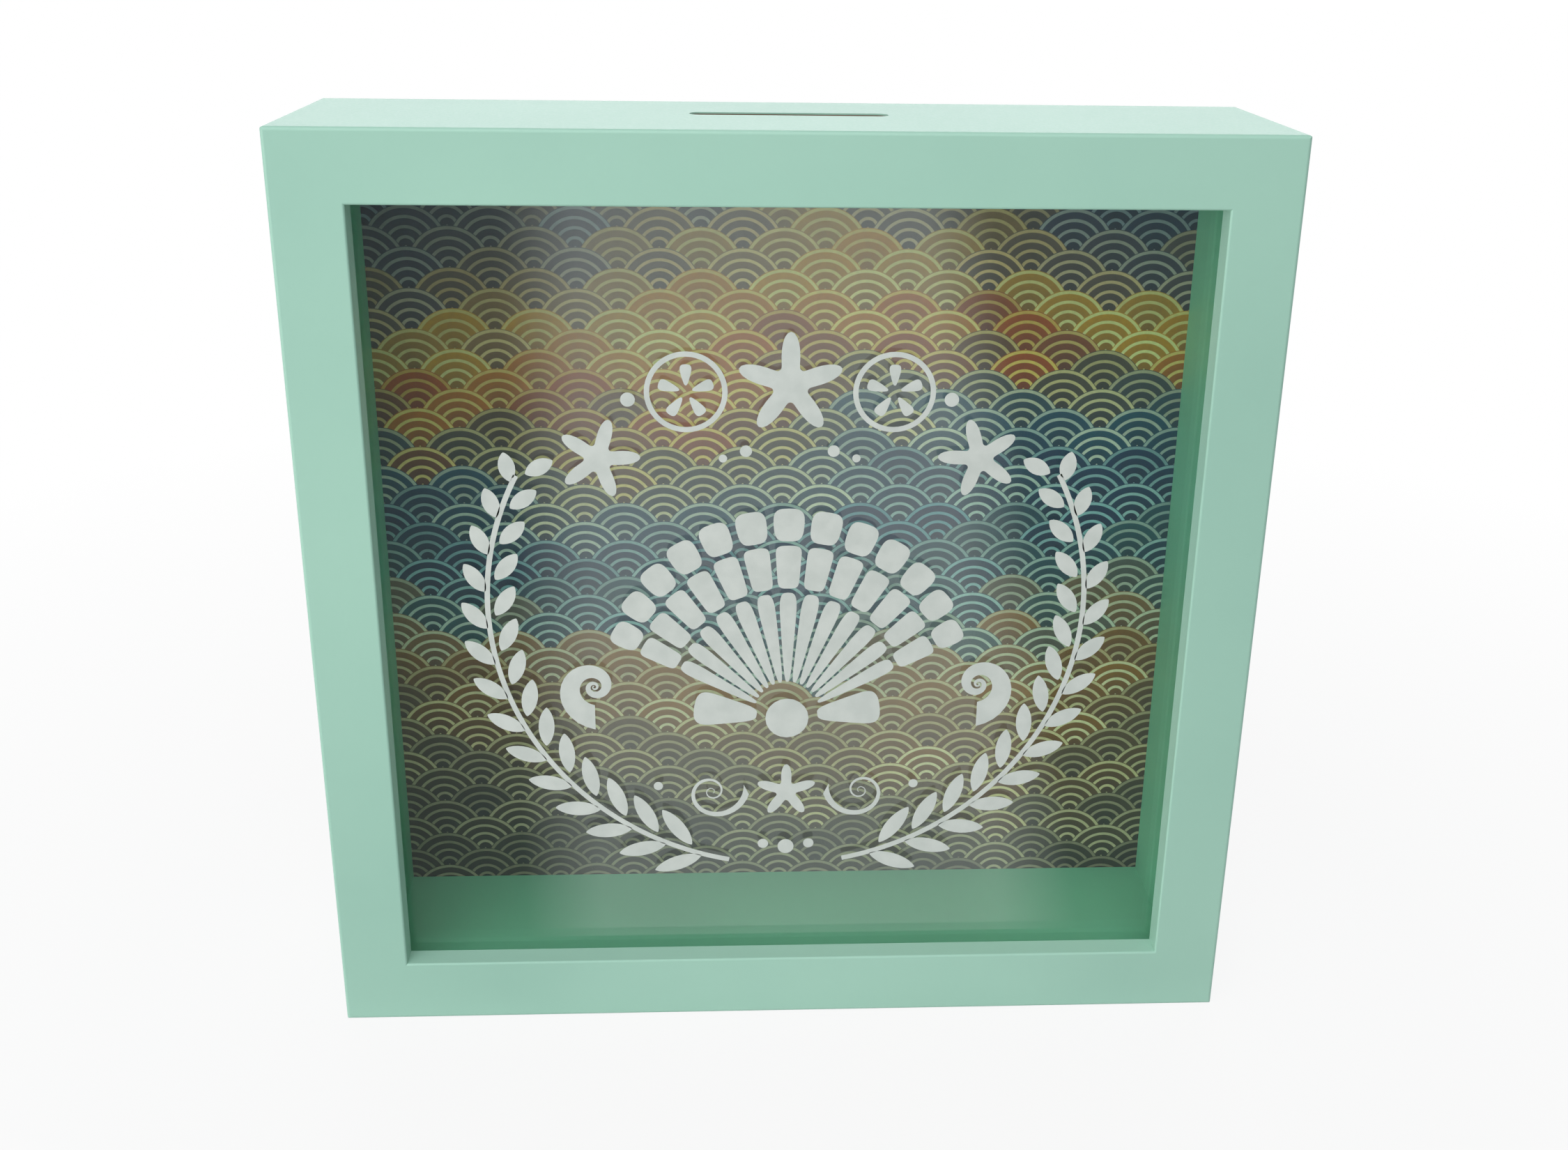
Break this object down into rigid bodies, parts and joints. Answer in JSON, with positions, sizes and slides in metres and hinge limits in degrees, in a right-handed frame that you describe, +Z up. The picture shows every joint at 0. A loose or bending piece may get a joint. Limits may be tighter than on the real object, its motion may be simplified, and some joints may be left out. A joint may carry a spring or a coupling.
{
  "type": "collection display case",
  "caption": "Square, deep painted shadow box with a glass front, a drop slot in the top and a lift-out back panel held by turn buttons.",
  "frame": {"origin": "middle of the base, halfway between the front face and the rear edges of the boards", "axes": "+X to the right seen from the front, +Y from front to back, +Z up"},
  "size_m": [0.254, 0.0667, 0.254],
  "materials": {
    "painted_board": "mint-green satin paint on fibreboard",
    "glass": "clear float glass with a faint green cast",
    "hardboard": "bare brown hardboard",
    "printed_paper": "satin print on paper",
    "screen_ink": "opaque off-white screen ink",
    "steel": "zinc-plated steel"
  },
  "bodies": {
    "case": {"face_top": "painted_board", "face_bottom": "painted_board", "face_left": "painted_board", "face_right": "painted_board", "board_top": "painted_board", "board_bottom": "painted_board", "board_left": "painted_board", "board_right": "painted_board", "glass_pane": "glass", "bead_top": "painted_board", "bead_bottom": "painted_board", "bead_left": "painted_board", "bead_right": "painted_board", "corner_wedges": "steel", "button_screws": "steel"},
    "back": {"back_panel": "hardboard", "print_sheet": "printed_paper", "sawtooth_hanger": "steel", "hanger_rivets": "steel"},
    "button_left_upper": {"turn_button_left_upper": "steel"},
    "button_left_lower": {"turn_button_left_lower": "steel"},
    "button_right_upper": {"turn_button_right_upper": "steel"},
    "button_right_lower": {"turn_button_right_lower": "steel"}
  },
  "joints": [
    {"name": "back_lift_out", "type": "slide", "parent": "case", "child": "back", "axis": [0, 1, 0], "range_m": [0, 0.04]},
    {"name": "turn_left_upper", "type": "hinge", "parent": "case", "child": "button_left_upper", "pos_m": [-0.12375, 0.0327, 0.192], "axis": [0, 1, 0], "continuous": true},
    {"name": "turn_left_lower", "type": "hinge", "parent": "case", "child": "button_left_lower", "pos_m": [-0.12375, 0.0327, 0.062], "axis": [0, 1, 0], "continuous": true},
    {"name": "turn_right_upper", "type": "hinge", "parent": "case", "child": "button_right_upper", "pos_m": [0.12375, 0.0327, 0.192], "axis": [0, -1, 0], "continuous": true},
    {"name": "turn_right_lower", "type": "hinge", "parent": "case", "child": "button_right_lower", "pos_m": [0.12375, 0.0327, 0.062], "axis": [0, -1, 0], "continuous": true}
  ]
}
